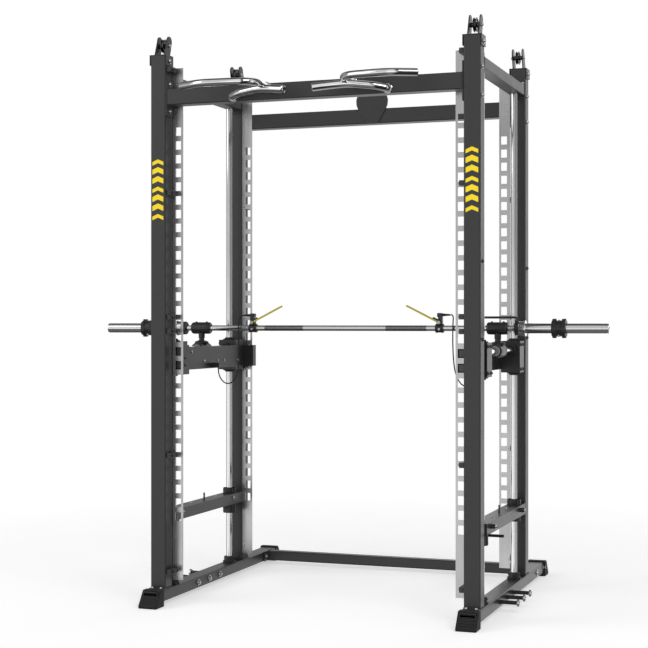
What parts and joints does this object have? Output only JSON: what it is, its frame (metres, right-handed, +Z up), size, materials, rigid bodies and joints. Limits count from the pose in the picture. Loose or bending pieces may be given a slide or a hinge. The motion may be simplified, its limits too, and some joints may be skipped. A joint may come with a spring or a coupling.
{
  "type": "smith machine",
  "caption": "Free-standing rack with a bar on vertical and horizontal guide rods, slotted locking plates, safety arms, storage pegs and pull-up grips.",
  "frame": {"origin": "centre of the footprint box, on the floor under the rubber feet", "axes": "+X along the bar, +Y from the front uprights with the pull-up grips to the rear uprights, +Z up"},
  "size_m": [2.352, 1.581, 2.474],
  "materials": {
    "graphite_paint": "satin powder coat",
    "black_metal": "fine textured black coat",
    "carriage_alloy": "black anodised",
    "black_alloy": "black anodised",
    "rubber": "matt",
    "chrome": "polished",
    "polished_plate": "bright brushed",
    "dark_steel": "blackened",
    "silver_alloy": "turned",
    "cast_weight": "as cast",
    "yellow_lever": "gloss"
  },
  "bodies": {
    "frame": {"front_upright_left": "graphite_paint", "front_upright_right": "graphite_paint", "rear_upright_left": "graphite_paint", "rear_upright_right": "graphite_paint", "base_rail_left": "graphite_paint", "base_rail_right": "graphite_paint", "foot_front_left": "rubber", "foot_front_right": "rubber", "foot_rear_left": "rubber", "foot_rear_right": "rubber", "floor_cross_beam": "graphite_paint", "front_top_beam": "graphite_paint", "rear_top_beam": "graphite_paint", "top_side_beam_left": "graphite_paint", "top_side_beam_right": "graphite_paint", "slotted_plate_front_left": "polished_plate", "slotted_plate_front_right": "polished_plate", "slotted_plate_rear_left": "polished_plate", "slotted_plate_rear_right": "polished_plate", "guide_rod_front_left": "chrome", "guide_rod_front_right": "chrome", "guide_rod_rear_left": "chrome", "guide_rod_rear_right": "chrome", "pulley_bracket_front_left": "black_metal", "pulley_bracket_front_right": "black_metal", "pulley_bracket_rear_left": "black_metal", "pulley_bracket_rear_right": "black_metal", "pull_up_grip_left": "chrome", "pull_up_grip_right": "chrome"},
    "carriage": {"carriage_left": "carriage_alloy", "carriage_right": "carriage_alloy", "cross_rod_left": "chrome", "cross_rod_right": "chrome"},
    "bar": {"bar_shaft": "chrome", "bar_hanger_left": "black_metal", "bar_hanger_right": "black_metal", "lever_clamp_left": "black_alloy", "lever_clamp_right": "black_alloy", "brake_cable_left": "rubber", "brake_cable_right": "rubber"},
    "sleeve_left": {"sleeve_left": "chrome"},
    "sleeve_right": {"sleeve_right": "chrome"},
    "clip_left": {"clip_left": "black_alloy"},
    "clip_right": {"clip_right": "black_alloy"},
    "lever_left": {"lever_left": "yellow_lever"},
    "lever_right": {"lever_right": "yellow_lever"},
    "pawls_left": {"pawls_left": "dark_steel"},
    "pawls_right": {"pawls_right": "dark_steel"},
    "safety_left": {"safety_arm_left": "graphite_paint"},
    "safety_handle_left": {"safety_handle_left": "rubber"},
    "safety_right": {"safety_arm_right": "graphite_paint"},
    "safety_handle_right": {"safety_handle_right": "rubber"},
    "pulley_front_left": {"pulley_front_left": "silver_alloy"},
    "pulley_front_right": {"pulley_front_right": "silver_alloy"},
    "pulley_rear_left": {"pulley_rear_left": "silver_alloy"},
    "pulley_rear_right": {"pulley_rear_right": "silver_alloy"},
    "counterweights": {"counterweight_front_left": "cast_weight", "counterweight_front_right": "cast_weight", "counterweight_rear_left": "cast_weight", "counterweight_rear_right": "cast_weight"}
  },
  "joints": [
    {"name": "carriage_lift", "type": "slide", "parent": "frame", "child": "carriage", "axis": [0, 0, 1], "range_m": [-0.54, 0.96]},
    {"name": "bar_slide", "type": "slide", "parent": "carriage", "child": "bar", "axis": [0, 1, 0], "range_m": [-0.175, 0.175]},
    {"name": "sleeve_left_spin", "type": "hinge", "parent": "bar", "child": "sleeve_left", "pos_m": [-0.98, -0.11151, 1.199], "axis": [1, 0, 0], "continuous": true},
    {"name": "clip_left_slide", "type": "slide", "parent": "sleeve_left", "child": "clip_left", "axis": [-1, 0, 0], "range_m": [-0.113, 0.17]},
    {"name": "lever_left_squeeze", "type": "hinge", "parent": "bar", "child": "lever_left", "pos_m": [-0.44, -0.12801, 1.2245], "axis": [0, 1, 0], "range_deg": [0, 22], "stiffness_Nm_per_rad": 3, "springref_deg": -20.05},
    {"name": "pawls_left_travel", "type": "slide", "parent": "carriage", "child": "pawls_left", "axis": [0, -1, 0], "range_m": [0, 0.03]},
    {"name": "safety_left_lift", "type": "slide", "parent": "frame", "child": "safety_left", "axis": [0, 0, 1], "range_m": [0, 0.54]},
    {"name": "safety_handle_left_turn", "type": "hinge", "parent": "safety_left", "child": "safety_handle_left", "pos_m": [-0.698, 0.16249, 0.342], "axis": [0, 0, 1], "range_deg": [0, 30], "stiffness_Nm_per_rad": 1.5, "springref_deg": -14.32},
    {"name": "pulley_front_left_spin", "type": "hinge", "parent": "frame", "child": "pulley_front_left", "pos_m": [-0.698, -0.50451, 2.432], "axis": [1, 0, 0], "continuous": true},
    {"name": "pulley_rear_left_spin", "type": "hinge", "parent": "frame", "child": "pulley_rear_left", "pos_m": [-0.698, 0.29749, 2.432], "axis": [1, 0, 0], "continuous": true},
    {"name": "sleeve_right_spin", "type": "hinge", "parent": "bar", "child": "sleeve_right", "pos_m": [0.98, -0.11151, 1.199], "axis": [1, 0, 0], "continuous": true},
    {"name": "clip_right_slide", "type": "slide", "parent": "sleeve_right", "child": "clip_right", "axis": [1, 0, 0], "range_m": [-0.113, 0.17]},
    {"name": "lever_right_squeeze", "type": "hinge", "parent": "bar", "child": "lever_right", "pos_m": [0.44, -0.12801, 1.2245], "axis": [0, -1, 0], "range_deg": [0, 22], "stiffness_Nm_per_rad": 3, "springref_deg": -20.05},
    {"name": "pawls_right_travel", "type": "slide", "parent": "carriage", "child": "pawls_right", "axis": [0, -1, 0], "range_m": [0, 0.03]},
    {"name": "safety_right_lift", "type": "slide", "parent": "frame", "child": "safety_right", "axis": [0, 0, 1], "range_m": [0, 0.54]},
    {"name": "safety_handle_right_turn", "type": "hinge", "parent": "safety_right", "child": "safety_handle_right", "pos_m": [0.698, -0.36951, 0.342], "axis": [0, 0, 1], "range_deg": [0, 30], "stiffness_Nm_per_rad": 1.5, "springref_deg": -14.32},
    {"name": "pulley_front_right_spin", "type": "hinge", "parent": "frame", "child": "pulley_front_right", "pos_m": [0.698, -0.50451, 2.432], "axis": [1, 0, 0], "continuous": true},
    {"name": "pulley_rear_right_spin", "type": "hinge", "parent": "frame", "child": "pulley_rear_right", "pos_m": [0.698, 0.29749, 2.432], "axis": [1, 0, 0], "continuous": true},
    {"name": "counterweight_travel", "type": "slide", "parent": "frame", "child": "counterweights", "axis": [0, 0, 1], "range_m": [-0.96, 0.54]}
  ],
  "couplings": [
    {"joint": "counterweight_travel", "follows": "carriage_lift", "ratio": -1},
    {"joint": "pawls_left_travel", "follows": "lever_left_squeeze", "m_per_rad": 0.078},
    {"joint": "pulley_front_left_spin", "follows": "carriage_lift", "rad_per_m": 35.714},
    {"joint": "pulley_rear_left_spin", "follows": "carriage_lift", "rad_per_m": -35.714},
    {"joint": "pawls_right_travel", "follows": "lever_right_squeeze", "m_per_rad": 0.078},
    {"joint": "pulley_front_right_spin", "follows": "carriage_lift", "rad_per_m": 35.714},
    {"joint": "pulley_rear_right_spin", "follows": "carriage_lift", "rad_per_m": -35.714}
  ]
}
